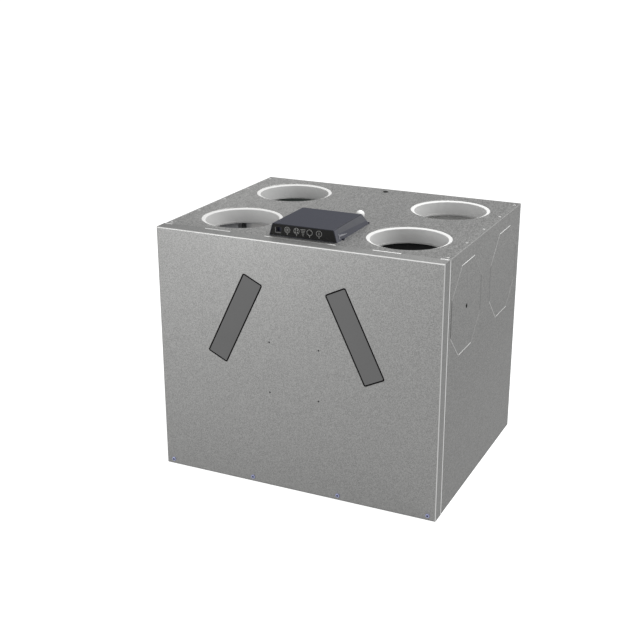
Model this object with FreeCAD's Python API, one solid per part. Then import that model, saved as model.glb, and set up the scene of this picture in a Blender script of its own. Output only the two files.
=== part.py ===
import FreeCAD, Part
import math
import os

# Air handling unit for a dwelling: a box of plated sheet steel around moulded foam, with four
# round duct collars and a small control box on its top, and two filter covers in its front.
# X runs to the right along the front, Y into the depth and Z up, in millimetres. The origin is
# the middle of the casing's footprint, on the floor.

# Casing
casing_width = 640.0
casing_depth = 520.0
casing_height = 550.0
sheet = 1.2
seam = 0.3
fold_width = 21.0
fold_radius = 1.0
panel_edge_radius = 0.5

# Front cover, a tray that laps over the casing's sides and meets the top panel
cover_flange_depth = 33.4
cover_floor_gap = 1.5
cover_bend_radius = 2.0
hem_radius = 2.2
hem_rise = 0.7
side_tongue_width = 59.6
side_tongue_from_centre = 189.5
centre_tongue_overhang = 3.6
corner_tongue_width = 17.0
corner_tongue_inset = 3.0

# Base panel's upright fold, which takes the front cover's screws
base_fold_height = 20.0

# Duct collars, for ducts of 160 mm
collar_bore_radius = 80.0
collar_wall = 3.0
collar_depth = 34.0
collar_opening_radius = 88.0
collar_flange_radius = 92.0
collar_flange_thickness = 3.0
collar_lip_drop = 1.5
collar_mouth_rounding = 1.0
collar_foot_lip = 0.6
collar_foot_lip_height = 3.2
collar_from_side = 127.2
collar_from_front = 143.8
collar_from_back = 121.9

# Foam core with a round well under each collar
well_radius = 88.0
well_depth = 150.0
well_slot_width = 18.0
well_slot_depth = 12.0
well_slot_angle = 119.3

# Filter covers, slanting plugs in rubber gaskets
filter_length = 197.8
filter_height = 43.4
filter_plug_depth = 24.0
filter_corner_radius = 1.5
filter_tilt = 25.8
filter_from_centre = 136.6
filter_below_top = 177.0
gasket_width = 3.0
gasket_setback = 0.5

# Eight-sided covers of the side ports
port_width = 188.4
port_gap = 0.6
port_from_front = 147.6
port_from_back = 118.5
port_below_top = 128.2
plug_head_radius = 4.8
plug_head_height = 0.8
plug_stem_radius = 3.4

# Plug near the back of the top panel
top_plug_from_back = 27.4

# Blind rivets
rivet_inset = 10.0
rivet_head_radius = 3.2
rivet_head_height = 1.0
rivet_stem_radius = 1.6
rivets_per_edge = 5
top_rivet_first = 44.8
top_rivet_margin = 21.6
back_rivet_margin = 45.0
small_rivet_radius = 2.0
small_rivet_stem_radius = 1.2
small_rivet_height = 0.6
small_rivet_pitch = 113.0
small_rivet_below_top = 217.5

# Screws along the front cover's lower edge
screw_head_radius = 4.6
screw_head_height = 2.0
screw_head_rounding = 1.0
screw_socket_width = 3.0
screw_socket_depth = 1.1
screw_stem_radius = 2.0
screw_stem_length = 10.0
screw_hole_clearance = 0.3
screw_height = 11.3
screw_from_side = 17.2
screws_per_edge = 4

# Control box on the top panel
control_width = 152.2
control_depth = 164.2
control_height = 25.8
control_from_front = 45.8
control_side_slope = 7.1
control_back_slope = 22.5
control_edge_radius = 3.5
bezel_depth = 16.0
bezel_wall = 1.5
bezel_sill = 1.0
bezel_corner_radius = 2.0
front_panel_thickness = 2.4
front_panel_setback = 0.6
socket_width = 14.6
socket_height = 13.0
socket_wall = 1.0
socket_depth = 12.0
socket_from_edge = 13.2
socket_sill = 6.0
lug_length = 7.0
lug_reach = 3.5
lug_height = 3.0
lug_from_front = 24.7
lug_hole_radius = 1.0

# Cable gland on the top panel behind the control box
gland_flats = 14.0
gland_nut_height = 5.5
gland_cap_radius = 9.5
gland_height = 20.4
gland_clearance = 18.0
gland_from_centre = 46.0

# Places worked out from the sizes above
front_y = -casing_depth / 2.0
back_y = casing_depth / 2.0
half_width = casing_width / 2.0
shell_half_width = half_width - sheet
inner_half_width = shell_half_width - sheet
top_z = casing_height
under_top_z = casing_height - sheet
inner_front_y = front_y + max(cover_bend_radius, 2.0 * sheet) + seam
flange_end_y = front_y + cover_flange_depth
collar_x = half_width - collar_from_side
collar_front_y = front_y + collar_from_front
collar_back_y = back_y - collar_from_back
collar_outer_radius = collar_bore_radius + collar_wall
collar_foot_z = top_z - collar_depth
collar_flange_z = under_top_z - collar_flange_thickness
well_floor_z = top_z - well_depth
core_split_y = (collar_front_y + collar_back_y) / 2.0
control_front_y = front_y + control_from_front
control_back_y = control_front_y + control_depth
overrun = 10.0

places = {
    "front_left": (-collar_x, collar_front_y),
    "front_right": (collar_x, collar_front_y),
    "back_left": (-collar_x, collar_back_y),
    "back_right": (collar_x, collar_back_y),
}


def block(x0, x1, y0, y1, z0, z1):
    return Part.makeBox(x1 - x0, y1 - y0, z1 - z0, FreeCAD.Vector(x0, y0, z0))


def upright(x, y, z0, z1, radius):
    return Part.makeCylinder(radius, z1 - z0, FreeCAD.Vector(x, y, z0), FreeCAD.Vector(0, 0, 1))


def facing(point, direction, radius, length):
    return Part.makeCylinder(radius, length, FreeCAD.Vector(*point), FreeCAD.Vector(*direction))


def prism(points, direction):
    outline = Part.makePolygon([FreeCAD.Vector(*point) for point in points + points[:1]])
    return Part.Face(outline).extrude(FreeCAD.Vector(*direction))


def joined(solids):
    whole = solids[0]
    for solid in solids[1:]:
        whole = whole.fuse(solid)
    return whole.removeSplitter()


def straight_edges(shape, axis, wanted):
    # The straight edges of a shape that run along X, Y or Z and whose middle is wanted
    picked = []
    for edge in shape.Edges:
        if edge.Curve.TypeId != "Part::GeomLine":
            continue
        run = edge.Vertexes[-1].Point - edge.Vertexes[0].Point
        along = {"x": run.x, "y": run.y, "z": run.z}[axis]
        if abs(abs(along) - run.Length) < 1e-6 and wanted(edge.CenterOfMass):
            picked.append(edge)
    return picked


def same(a, b):
    return abs(a - b) < 1e-6


def round_edges_at(shape, height, radius):
    # The full circles of a turned shape at one height and radius
    return [edge for edge in shape.Edges if edge.Curve.TypeId == "Part::GeomCircle"
            and same(edge.Curve.Center.z, height) and same(edge.Curve.Radius, radius)]


def mirrored(shape):
    return shape.mirror(FreeCAD.Vector(0, 0, 0), FreeCAD.Vector(1, 0, 0))


def save(name, solids):
    shape = solids[0] if len(solids) == 1 else Part.makeCompound(solids)
    shape.exportStep("parts/" + name + ".step")


def spaced(first, last, count):
    return [first + (last - first) * number / (count - 1) for number in range(count)]


# Rows of small fasteners
top_rivet_rows = spaced(front_y + top_rivet_first, back_y - top_rivet_margin, rivets_per_edge)
back_rivet_rows = spaced(back_rivet_margin, top_z - back_rivet_margin, rivets_per_edge)
rivet_x = half_width - rivet_inset
rivet_columns = (-rivet_x, rivet_x)
screw_columns = spaced(-half_width + screw_from_side, half_width - screw_from_side, screws_per_edge)
small_rivet_columns = [-small_rivet_pitch / 2.0, small_rivet_pitch / 2.0]
small_rivet_z = [top_z - small_rivet_below_top, top_z - small_rivet_below_top - small_rivet_pitch]


def domed_head(point, direction, radius, height):
    # A low dome, cut from a ball whose chord is the head's own width
    ball_radius = (radius ** 2 + height ** 2) / (2.0 * height)
    base = FreeCAD.Vector(*point)
    way = FreeCAD.Vector(*direction)
    ball = Part.makeSphere(ball_radius, base - way * (ball_radius - height))
    return ball.common(facing(point, direction, radius + seam, height + seam))


def rivet(point, direction, length):
    away = tuple(-part for part in direction)
    head = domed_head(point, direction, rivet_head_radius, rivet_head_height)
    return joined([head, facing(point, away, rivet_stem_radius, length)])


def octagon(x, y, z, across, thickness):
    # An eight-sided plate, its flats level and upright, growing from x along +X
    corner_radius = across / 2.0 / math.cos(math.pi / 8.0)
    points = []
    for number in range(8):
        angle = math.pi / 8.0 + number * math.pi / 4.0
        points.append((x, y + corner_radius * math.cos(angle), z + corner_radius * math.sin(angle)))
    return prism(points, (thickness, 0, 0))


port_z = top_z - port_below_top
port_rows = {"front": front_y + port_from_front, "back": back_y - port_from_back}


def slanted(length, height, y0, y1, corner_radius, side):
    # A rounded slab in the front's plane that leans in towards the middle at its upper end
    slab = block(-height / 2.0, height / 2.0, y0, y1, -length / 2.0, length / 2.0)
    slab = slab.makeFillet(corner_radius, straight_edges(slab, "y", lambda middle: True))
    slab.rotate(FreeCAD.Vector(0, 0, 0), FreeCAD.Vector(0, 1, 0), -side * filter_tilt)
    slab.translate(FreeCAD.Vector(side * filter_from_centre, 0, top_z - filter_below_top))
    return slab


def filter_opening(y0, y1, side, spare):
    grown = 2.0 * (gasket_width + spare)
    radius = filter_corner_radius + gasket_width + spare
    return slanted(filter_length + grown, filter_height + grown, y0, y1, radius, side)


filter_seat_y = front_y + filter_plug_depth


def base_panel():
    floor_sheet = block(-shell_half_width, shell_half_width, front_y + sheet, back_y, 0, sheet)
    fold = block(-shell_half_width, shell_half_width, front_y + sheet, front_y + 2.0 * sheet,
                 0, base_fold_height)
    panel = joined([floor_sheet, fold])
    bend = straight_edges(panel, "x", lambda middle: same(middle.y, front_y + sheet) and same(middle.z, 0))
    panel = panel.makeFillet(fold_radius, bend)
    for x in screw_columns:
        panel = panel.cut(facing((x, front_y, screw_height), (0, 1, 0), screw_stem_radius, 2.0 * sheet))
    return panel


def back_panel():
    panel = block(-shell_half_width, shell_half_width, back_y - sheet, back_y, sheet, under_top_z)
    for z in back_rivet_rows:
        for x in rivet_columns:
            panel = panel.cut(facing((x, back_y, z), (0, -1, 0), rivet_stem_radius, sheet))
    return panel


def top_panel():
    panel = block(-shell_half_width, shell_half_width, flange_end_y + seam, back_y, under_top_z, top_z)
    edge = straight_edges(panel, "y", lambda middle: same(middle.z, top_z))
    edge += straight_edges(panel, "x", lambda middle: same(middle.z, top_z) and same(middle.y, back_y))
    panel = panel.makeFillet(panel_edge_radius, edge)
    for x, y in places.values():
        panel = panel.cut(upright(x, y, under_top_z, top_z, collar_opening_radius))
    panel = panel.makeFillet(panel_edge_radius, round_edges_at(panel, top_z, collar_opening_radius))
    for y in top_rivet_rows:
        for x in rivet_columns:
            panel = panel.cut(upright(x, y, under_top_z, top_z, rivet_stem_radius))
    plug_y = back_y - top_plug_from_back
    return panel.cut(upright(0, plug_y, under_top_z, top_z, plug_stem_radius))


def right_side_panel():
    # A pan whose top, back and foot fold inwards
    front, back, foot, head = inner_front_y, back_y - sheet, sheet, under_top_z
    pan = block(shell_half_width - fold_width, shell_half_width, front, back, foot, head)
    outer = straight_edges(pan, "y", lambda middle: same(middle.x, shell_half_width))
    outer += straight_edges(
        pan, "z", lambda middle: same(middle.x, shell_half_width) and same(middle.y, back))
    pan = pan.makeFillet(fold_radius, outer)
    hollow = block(0, inner_half_width, front - overrun, back - sheet, foot + sheet, head - sheet)
    pan = pan.cut(hollow)
    for y in port_rows.values():
        pan = pan.cut(octagon(inner_half_width, y, port_z, port_width + 2.0 * port_gap, sheet))
    for y in top_rivet_rows:
        pan = pan.cut(upright(rivet_x, y, head - sheet, head, rivet_stem_radius))
    for z in back_rivet_rows:
        pan = pan.cut(facing((rivet_x, back, z), (0, -1, 0), rivet_stem_radius, sheet))
    return pan


def rounded_tray(half_across, front, head, radius):
    # A slab whose two upright front edges and top front edge are rounded
    slab = block(-half_across, half_across, front, flange_end_y, cover_floor_gap, head)
    bends = straight_edges(slab, "z", lambda middle: same(middle.y, front))
    bends += straight_edges(slab, "x", lambda middle: same(middle.y, front) and same(middle.z, head))
    return slab.makeFillet(radius, bends)


def side_hem():
    # The folded rear edge of the cover's right flange, standing a little proud of it
    start = (half_width + hem_rise - hem_radius, flange_end_y - hem_radius, cover_floor_gap)
    roll = facing(start, (0, 0, 1), hem_radius, top_z - cover_floor_gap)
    keep = block(shell_half_width, half_width + overrun, front_y, flange_end_y,
                 cover_floor_gap, top_z)
    return roll.common(keep)


def top_tongue(x0, x1):
    # A tongue of the cover's top flange, its edge rolled like the side hem
    start = (x0, flange_end_y - hem_radius, top_z + hem_rise - hem_radius)
    roll = facing(start, (1, 0, 0), hem_radius, x1 - x0)
    return roll.common(block(x0, x1, front_y, flange_end_y, under_top_z, top_z + overrun))


def front_cover():
    inside = rounded_tray(shell_half_width, front_y + sheet, under_top_z, cover_bend_radius - sheet)
    inside = joined([inside, block(-shell_half_width, shell_half_width, inner_front_y,
                                   flange_end_y + overrun, 0, under_top_z)])
    lower = block(-shell_half_width, shell_half_width, front_y + sheet, flange_end_y, 0, base_fold_height)
    cover = rounded_tray(half_width, front_y, top_z, cover_bend_radius).cut(joined([inside, lower]))
    tongues = [(-control_width / 2.0 - centre_tongue_overhang, control_width / 2.0 + centre_tongue_overhang)]
    for x in (-side_tongue_from_centre, side_tongue_from_centre):
        tongues.append((x - side_tongue_width / 2.0, x + side_tongue_width / 2.0))
    corner = half_width - corner_tongue_inset
    tongues.append((corner - corner_tongue_width, corner))
    tongues.append((-corner, corner_tongue_width - corner))
    rolls = [top_tongue(x0, x1) for x0, x1 in tongues]
    cover = joined([cover, side_hem(), mirrored(side_hem())] + rolls)
    for side in (-1, 1):
        cover = cover.cut(filter_opening(front_y - overrun, front_y + overrun, side, seam))
    for x in screw_columns:
        hole_radius = screw_stem_radius + screw_hole_clearance
        cover = cover.cut(facing((x, front_y, screw_height), (0, 1, 0), hole_radius, sheet))
    for x in small_rivet_columns:
        for z in small_rivet_z:
            cover = cover.cut(facing((x, front_y, z), (0, 1, 0), small_rivet_stem_radius, sheet))
    return cover


def foam_space():
    # All the room inside the sheets, less the side panels' folds
    back = back_y - sheet
    space = block(-inner_half_width, inner_half_width, inner_front_y, back, sheet, under_top_z)
    fold_x = shell_half_width - fold_width - seam
    folds = [
        block(fold_x, half_width, inner_front_y, back, under_top_z - sheet, under_top_z),
        block(fold_x, half_width, inner_front_y, back, sheet, 2.0 * sheet),
        block(fold_x, half_width, back - sheet, back, sheet, under_top_z),
    ]
    for fold in folds:
        space = space.cut(fold).cut(mirrored(fold))
    for side in (-1, 1):
        space = space.cut(filter_opening(front_y, filter_seat_y, side, 0))
    for x in screw_columns:
        pocket_radius = screw_stem_radius + screw_hole_clearance
        space = space.cut(facing((x, front_y, screw_height), (0, 1, 0), pocket_radius,
                                 screw_stem_length + seam))
    return space


def core_quarter(space, name):
    # One upper quarter of the foam, with the seat of its collar and the well below it
    x, y = places[name]
    x0, x1 = (0, half_width) if x > 0 else (-half_width, 0)
    y0, y1 = (front_y, core_split_y) if y < core_split_y else (core_split_y, back_y)
    quarter = space.common(block(x0, x1, y0, y1, well_floor_z, top_z))
    quarter = quarter.cut(upright(x, y, collar_flange_z, top_z, collar_flange_radius + seam))
    quarter = quarter.cut(upright(x, y, collar_foot_z, collar_flange_z, collar_outer_radius + seam))
    quarter = quarter.cut(upright(x, y, well_floor_z, collar_foot_z, well_radius))
    if name == "front_left":
        reach = well_radius + well_slot_depth
        slot = block(0, reach, -well_slot_width / 2.0, well_slot_width / 2.0, well_floor_z, collar_foot_z)
        slot.rotate(FreeCAD.Vector(0, 0, 0), FreeCAD.Vector(0, 0, 1), well_slot_angle)
        slot.translate(FreeCAD.Vector(x, y, 0))
        quarter = quarter.cut(slot)
    return quarter


def duct_collar(x, y):
    # A sleeve that hangs under the top panel by its flange. Its mouth widens to the panel's hole, and
    # a low lip runs round inside its foot. The profile is turned about the collar's axis.
    inner, outer = collar_bore_radius, collar_outer_radius
    foot_bore = inner - collar_foot_lip
    lip_top_z = collar_foot_z + collar_foot_lip_height
    mouth_z = under_top_z - collar_lip_drop
    outline = [(foot_bore, collar_foot_z), (outer, collar_foot_z), (outer, collar_flange_z),
               (collar_flange_radius, collar_flange_z), (collar_flange_radius, under_top_z),
               (collar_opening_radius, under_top_z), (inner, mouth_z), (inner, lip_top_z),
               (foot_bore, lip_top_z)]
    points = [FreeCAD.Vector(radius, 0, height) for radius, height in outline + outline[:1]]
    face = Part.Face(Part.makePolygon(points))
    ring = face.revolve(FreeCAD.Vector(0, 0, 0), FreeCAD.Vector(0, 0, 1), 360)
    ring = ring.makeFillet(collar_mouth_rounding, round_edges_at(ring, mouth_z, inner))
    ring.translate(FreeCAD.Vector(x, y, 0))
    return ring


def port_cover(y, plugged):
    plate = octagon(inner_half_width, y, port_z, port_width, sheet)
    if plugged:
        plate = plate.cut(facing((inner_half_width, y, port_z), (1, 0, 0), plug_stem_radius, sheet))
    return plate


def port_plug():
    face = (shell_half_width, port_rows["front"], port_z)
    head = domed_head(face, (1, 0, 0), plug_head_radius, plug_head_height)
    return joined([head, facing(face, (-1, 0, 0), plug_stem_radius, sheet)])


def top_plug():
    face = (0, back_y - top_plug_from_back, top_z)
    head = domed_head(face, (0, 0, 1), plug_head_radius, plug_head_height)
    return joined([head, facing(face, (0, 0, -1), plug_stem_radius, sheet)])


def filter_cover(side):
    return slanted(filter_length, filter_height, front_y, filter_seat_y, filter_corner_radius, side)


def filter_gasket(side):
    ring = filter_opening(front_y + gasket_setback, filter_seat_y, side, 0)
    return ring.cut(filter_cover(side))


def screw(x):
    # A pan head with a six-sided socket, on a plain stem
    face = (x, front_y, screw_height)
    head = facing(face, (0, -1, 0), screw_head_radius, screw_head_height)
    crown = [edge for edge in head.Edges if same(edge.CenterOfMass.y, front_y - screw_head_height)]
    head = head.makeFillet(screw_head_rounding, crown)
    corner = screw_socket_width / 2.0 / math.cos(math.pi / 6.0)
    y0 = front_y - screw_head_height
    points = []
    for number in range(6):
        angle = number * math.pi / 3.0
        points.append((x + corner * math.cos(angle), y0, screw_height + corner * math.sin(angle)))
    head = head.cut(prism(points, (0, screw_socket_depth, 0)))
    return joined([head, facing(face, (0, 1, 0), screw_stem_radius, screw_stem_length)])


def small_rivet(x, z):
    face = (x, front_y, z)
    head = domed_head(face, (0, -1, 0), small_rivet_radius, small_rivet_height)
    return joined([head, facing(face, (0, 1, 0), small_rivet_stem_radius, sheet)])


def front_outline(setback, sill):
    # The control box seen from the front: sloping sides and a flat top
    half = control_width / 2.0 - setback
    top_half = half - control_side_slope
    top = top_z + control_height - setback
    return [(-half, top_z + sill), (half, top_z + sill), (top_half, top), (-top_half, top)]


def control_form():
    # The control box's whole outer form: its front outline, run back to a long sloping back
    points = [(x, control_front_y, z) for x, z in front_outline(0, 0)]
    form = prism(points, (0, control_depth, 0))
    upper_z = top_z + control_height
    profile = [(-half_width, control_front_y, top_z), (-half_width, control_back_y, top_z),
               (-half_width, control_back_y - control_back_slope, upper_z),
               (-half_width, control_front_y, upper_z)]
    form = form.common(prism(profile, (casing_width, 0, 0)))
    ridges = [edge for edge in form.Edges if same(edge.Vertexes[0].Z, upper_z)
              and same(edge.Vertexes[-1].Z, upper_z) and edge.CenterOfMass.y > control_front_y + seam]
    return form.makeFillet(control_edge_radius, ridges)


socket_x = -control_width / 2.0 + socket_from_edge
socket_z = top_z + socket_sill
panel_front_y = control_front_y + front_panel_setback


def socket_block(grown, y0, y1):
    return block(socket_x - grown, socket_x + socket_width + grown, y0, y1,
                 socket_z - grown, socket_z + socket_height + grown)


def panel_form():
    points = [(x, panel_front_y, z) for x, z in front_outline(bezel_wall, bezel_sill)]
    form = prism(points, (0, front_panel_thickness, 0))
    crown = straight_edges(form, "y", lambda middle: middle.z > top_z + control_height / 2.0)
    return form.makeFillet(bezel_corner_radius, crown)


def control_bezel():
    bezel_back = control_front_y + bezel_depth
    ring = control_form().common(block(-half_width, half_width, control_front_y, bezel_back, 0, 2.0 * top_z))
    recess = panel_form()
    ring = ring.cut(recess)
    mouth = recess.copy()
    mouth.translate(FreeCAD.Vector(0, -front_panel_thickness, 0))
    ring = ring.cut(mouth)
    return ring.cut(socket_block(0, control_front_y, control_front_y + socket_depth))


def control_box_cover():
    bezel_back = control_front_y + bezel_depth
    return control_form().common(block(-half_width, half_width, bezel_back, back_y, 0, 2.0 * top_z))


def control_front_panel():
    return panel_form().cut(socket_block(0, control_front_y - overrun, control_back_y))


def service_socket():
    shell = socket_block(0, panel_front_y, control_front_y + socket_depth)
    hollow = socket_block(-socket_wall, control_front_y - overrun,
                          control_front_y + socket_depth - socket_wall)
    return shell.cut(hollow)


def control_box_lug(x0, x1, y0, y1):
    # A fixing lug at the box's foot, with a hole for its screw
    lug = block(x0, x1, y0, y1, top_z, top_z + lug_height)
    hole = upright((x0 + x1) / 2.0, (y0 + y1) / 2.0, top_z, top_z + lug_height, lug_hole_radius)
    return lug.cut(hole)


def control_box_lugs():
    # One lug beside each side and one behind each back corner
    half = control_width / 2.0
    side_y = control_front_y + lug_from_front
    side_lug = control_box_lug(half, half + lug_reach, side_y, side_y + lug_length)
    back_lug = control_box_lug(half - lug_length, half, control_back_y, control_back_y + lug_reach)
    return [side_lug, mirrored(side_lug), back_lug, mirrored(back_lug)]


gland_y = control_back_y + gland_clearance + gland_flats / 2.0


def cable_gland_nut():
    corner = gland_flats / 2.0 / math.cos(math.pi / 6.0)
    points = []
    for number in range(6):
        angle = number * math.pi / 3.0
        x = gland_from_centre + corner * math.cos(angle)
        y = gland_y + corner * math.sin(angle)
        points.append((x, y, top_z))
    return prism(points, (0, 0, gland_nut_height))


def cable_gland_cap():
    # A ball that sits on the nut, a little narrower there than at its middle
    centre = FreeCAD.Vector(gland_from_centre, gland_y, top_z + gland_height - gland_cap_radius)
    ball = Part.makeSphere(gland_cap_radius, centre)
    return ball.common(block(-half_width, half_width, front_y, back_y, top_z + gland_nut_height, 2.0 * top_z))


os.makedirs("parts", exist_ok=True)

save("base_panel", [base_panel()])
save("back_panel", [back_panel()])
save("top_panel", [top_panel()])
save("right_side_panel", [right_side_panel()])
save("left_side_panel", [mirrored(right_side_panel())])
save("front_cover", [front_cover()])

space = foam_space()
save("foam_core_lower", [space.common(block(-half_width, half_width, front_y, back_y, 0, well_floor_z))])
for name, (x, y) in places.items():
    save("foam_core_" + name, [core_quarter(space, name)])
    save("duct_collar_" + name, [duct_collar(x, y)])

for name, y in port_rows.items():
    cover = port_cover(y, name == "front")
    save("right_port_cover_" + name, [cover])
    save("left_port_cover_" + name, [mirrored(cover)])
save("right_port_plug", [port_plug()])
save("left_port_plug", [mirrored(port_plug())])
save("top_plug", [top_plug()])

for name, side in (("left", -1), ("right", 1)):
    save("filter_cover_" + name, [filter_cover(side)])
    save("filter_gasket_" + name, [filter_gasket(side)])

stem = 2.0 * sheet
save("top_rivets", [rivet((x, y, top_z), (0, 0, 1), stem) for y in top_rivet_rows for x in rivet_columns])
save("back_rivets", [rivet((x, back_y, z), (0, 1, 0), stem) for z in back_rivet_rows for x in rivet_columns])
save("front_screws", [screw(x) for x in screw_columns])
save("front_rivets", [small_rivet(x, z) for x in small_rivet_columns for z in small_rivet_z])

save("control_bezel", [control_bezel()])
save("control_box_cover", [control_box_cover()])
save("control_front_panel", [control_front_panel()])
save("service_socket", [service_socket()])
save("control_box_lugs", control_box_lugs())
save("cable_gland_nut", [cable_gland_nut()])
save("cable_gland_cap", [cable_gland_cap()])
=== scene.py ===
import bpy
import math
from mathutils import Matrix, Vector


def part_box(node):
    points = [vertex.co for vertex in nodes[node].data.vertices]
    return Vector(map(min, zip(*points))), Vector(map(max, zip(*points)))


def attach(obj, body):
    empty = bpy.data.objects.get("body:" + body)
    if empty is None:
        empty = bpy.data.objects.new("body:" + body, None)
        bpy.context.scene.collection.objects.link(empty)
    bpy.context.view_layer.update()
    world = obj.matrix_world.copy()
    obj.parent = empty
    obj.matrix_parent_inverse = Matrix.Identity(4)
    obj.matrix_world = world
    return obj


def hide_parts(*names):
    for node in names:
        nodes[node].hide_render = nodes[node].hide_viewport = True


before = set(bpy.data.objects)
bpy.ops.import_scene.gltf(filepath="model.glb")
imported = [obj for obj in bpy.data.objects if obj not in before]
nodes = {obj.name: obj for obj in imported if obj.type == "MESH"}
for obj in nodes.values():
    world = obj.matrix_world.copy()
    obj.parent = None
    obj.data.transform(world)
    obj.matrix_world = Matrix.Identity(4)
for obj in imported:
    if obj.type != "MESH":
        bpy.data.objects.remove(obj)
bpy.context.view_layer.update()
mm = 0.001
slack = 0.01 * mm                 # points closer than this count as level
print("frame loaded with", len(nodes), "nodes")


# Colours and nodes

def linear(hexColour):
    # sRGB hex to the linear colour that shaders take
    channels = [int(hexColour[place:place + 2], 16) / 255 for place in (1, 3, 5)]
    channels = [c / 12.92 if c < 0.04045 else ((c + 0.055) / 1.055) ** 2.4 for c in channels]
    return (*channels, 1.0)


def addNode(tree, kind, inputs=None, **settings):
    # one node with its settings; an input gets a value, or a link from another node's output
    node = tree.nodes.new(kind)
    for name, value in settings.items():
        setattr(node, name, value)
    for name, value in (inputs or {}).items():
        if isinstance(value, bpy.types.NodeSocket):
            tree.links.new(value, node.inputs[name])
        else:
            node.inputs[name].default_value = value
    return node


def startMaterial(name):
    material = bpy.data.materials.new(name)
    material.use_nodes = True
    material.node_tree.nodes.clear()
    return material, material.node_tree


def endMaterial(tree, shader):
    addNode(tree, "ShaderNodeOutputMaterial", {"Surface": shader.outputs["BSDF"]})


def markPlaces(tree, place, colour, marks):
    # a mark changes the colour, or its brightness by a gain, where each coordinate lies past a
    # place: "where" lists (axis, start, full) in mm, and "sides" is x to left and right alike
    sizes = addNode(tree, "ShaderNodeVectorMath", {
        0: place.outputs["Object"]}, operation="ABSOLUTE")
    sides = addNode(tree, "ShaderNodeSeparateXYZ", {0: sizes.outputs[0]})
    signed = addNode(tree, "ShaderNodeSeparateXYZ", {0: place.outputs["Object"]})
    axes = {"sides": sides.outputs[0]}
    for number, axis in enumerate("xyz"):
        axes[axis] = signed.outputs[number]
    for mark in marks:
        mask = 1.0
        for axis, start, full in mark["where"]:
            ramp = addNode(tree, "ShaderNodeMapRange", {
                "Value": axes[axis], "From Min": start * mm, "From Max": full * mm})
            both = addNode(tree, "ShaderNodeMath", {
                0: ramp.outputs[0], 1: mask}, operation="MULTIPLY")
            mask = both.outputs[0]
        if "gain" in mark:
            gain = addNode(tree, "ShaderNodeMapRange", {
                "Value": mask, "To Min": 1.0, "To Max": mark["gain"]})
            mixed = addNode(tree, "ShaderNodeMix", {
                "Factor": 1.0, 6: colour, 7: gain.outputs[0]},
                data_type="RGBA", blend_type="MULTIPLY")
        else:
            mixed = addNode(tree, "ShaderNodeMix", {
                "Factor": mask, 6: colour, 7: linear(mark["colour"])}, data_type="RGBA")
        colour = mixed.outputs[2]
    return colour


# Hot-dip galvanised steel with a minimised spangle: zinc crystals of about 1.5 mm, each a little
# lighter or darker than the next, satin all over, and with painted highlights and painted shade on
# its bends, by the way each bend faces
zincSheet = {
    "face": "#9b9b9a",
    "bendUpPaintedLight": "#dededd",          # bends that look upwards
    "bendSidePaintedLight": "#bcbcbb",        # upright bends
    "bendBackPaintedLight": "#6e6e6d",        # bends that look back or down
    "spangle": 1.5,               # mm, one crystal
    "lie": (1.0, 1.0, 1.0),       # how long the crystals lie along x, y and z
    "turn": (0.35, 0.9, 0.52),    # radians, so that no row of crystals runs along an edge
    "grain": 1.4,                 # mm, the mottle inside a crystal
    "grainShare": 0.45,           # of the tone; the rest comes from the crystals
    "toneSpread": 0.6,
    "metallic": 0.85,
    "roughness": 0.5,
    "roughnessSpread": 0.1,
    "bump": 0.06,
    "bumpDepth": 0.2,             # mm
    "bendFrom": 0.99,             # a bend starts where no axis has more of the normal than this
    "bendFull": 0.93,
    "upFrom": 0.1,                # the normal's upward share where a bend starts to look up
    "upFull": 0.5,
    "backFrom": 0.1,              # and its share backwards or down where it starts to look away
    "backFull": 0.5,
    "marks": [],
}
coverSheet = {
    **zincSheet,
    # a brighter painted highlight on the upright bends
    "bendSidePaintedLight": "#e2e2e1",
    "marks": [
        # the side flanges darker, and a painted highlight on the side hem's crown
        {"where": [("sides", 318.6, 319.2), ("y", -257.6, -257.2)], "gain": 0.82},
        {"where": [("sides", 320.1, 320.3)], "colour": "#f8f8f7"},
        # painted shade on the foot's turned-in edge and on the left bend
        {"where": [("z", 4.4, 3.4)], "gain": 0.84},
        {"where": [("x", -317.2, -318.2)], "gain": 0.74},
        # the top flange darker, and a painted highlight on the crowns of its tongues
        {"where": [("y", -257.6, -257.2), ("z", 548.8, 549.2), ("z", 550.15, 550.05)],
         "gain": 0.78},
        {"where": [("y", -240, -238), ("z", 550.15, 550.3)], "colour": "#f2f2f1"},
        # on the middle tongues a painted reflection of the dark control box
        {"where": [("sides", 70, 58), ("y", -240, -238), ("z", 550.02, 550.1)],
         "colour": "#8f8f8e"},
        # darker high on the left
        {"where": [("x", -120, -310), ("z", 400, 540)], "gain": 0.9},
    ],
}
# the top sheet, with weaker painted light on its bends
topSheet = {**zincSheet, "face": "#848483", "bendUpPaintedLight": "#8e8e8d", "bendSidePaintedLight": "#8a8a89",
            "lie": (1.0, 2.6, 1.0), "toneSpread": 1.1,
            "marks": [{"where": [("x", 100, -280)], "gain": 1.3},      # painted light, lighter towards the left
                      {"where": [("x", -60, -240), ("y", -100, 0)], "gain": 1.08},
                      {"where": [("x", -100, -240), ("y", -150, -220)], "gain": 0.9},
                      # painted shade, darker towards the right
                      {"where": [("x", 150, 290)], "gain": 0.9},
                      # a painted highlight along the side edges
                      {"where": [("sides", 318.4, 318.6), ("z", 549.95, 549.8)],
                       "colour": "#b8b8b7"}]}
# the side sheets, with weaker painted light on their bends
sideSheet = {**zincSheet, "face": "#8b8b8a", "bendUpPaintedLight": "#a0a09f", "bendSidePaintedLight": "#909090",
             "lie": (1.0, 2.2, 1.0), "toneSpread": 0.7,
             "marks": [{"where": [("z", 330, 520)], "gain": 1.14},      # painted light, lighter towards the top
                       {"where": [("y", 257.2, 258.2)], "gain": 0.8}]}
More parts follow.
